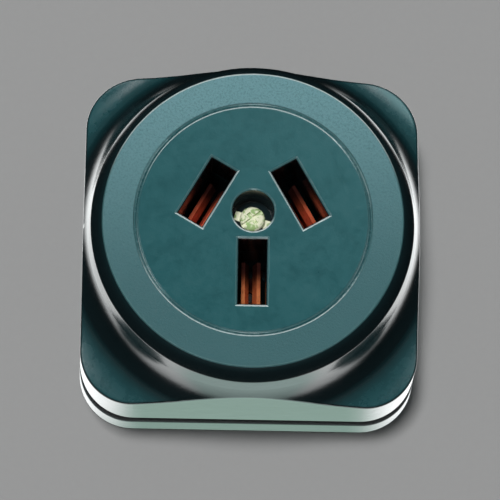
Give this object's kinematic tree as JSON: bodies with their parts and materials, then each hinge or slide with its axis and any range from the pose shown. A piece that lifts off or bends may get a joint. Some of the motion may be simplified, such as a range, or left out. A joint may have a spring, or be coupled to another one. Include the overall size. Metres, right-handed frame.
{
  "type": "surface-mounted power receptacle",
  "caption": "Surface-mounted power receptacle: square base and skirt with a round raised boss, straight blade slots set like a Y, copper contacts inside and a screw in the middle.",
  "frame": {"origin": "centre of the rear face that lies on the wall", "axes": "+Z out of the wall through the face, +Y up on the wall, +X to the right as seen from the front"},
  "size_m": [0.0744, 0.0744, 0.0475],
  "materials": {
    "base_moulding": "glossy thermoset moulding, dark teal grey",
    "cover_moulding": "glossy thermoset moulding, dark teal, finely grained on the outer ring of the face",
    "yellow_plated_steel": "yellow passivated zinc plate",
    "insert_brass": "turned brass",
    "contact_copper": "copper alloy strip, lightly tarnished",
    "spring_steel": "rolled spring steel",
    "plated_steel": "bright zinc plate",
    "terminal_brass": "stamped brass"
  },
  "bodies": {
    "root": {"base": "base_moulding", "cover": "cover_moulding", "cover_screw": "yellow_plated_steel", "screw_washer": "yellow_plated_steel", "threaded_insert": "insert_brass", "contact_right": "contact_copper", "spring_right": "spring_steel", "contact_screw_right": "plated_steel", "terminal_plate_right": "terminal_brass", "wire_washer_right": "plated_steel", "terminal_screw_right": "plated_steel", "contact_left": "contact_copper", "spring_left": "spring_steel", "contact_screw_left": "plated_steel", "terminal_plate_left": "terminal_brass", "wire_washer_left": "plated_steel", "terminal_screw_left": "plated_steel", "contact_bottom": "contact_copper", "spring_bottom": "spring_steel", "contact_screw_bottom": "plated_steel", "terminal_plate_bottom": "terminal_brass", "wire_washer_bottom": "plated_steel", "terminal_screw_bottom": "plated_steel"}
  },
  "joints": []
}
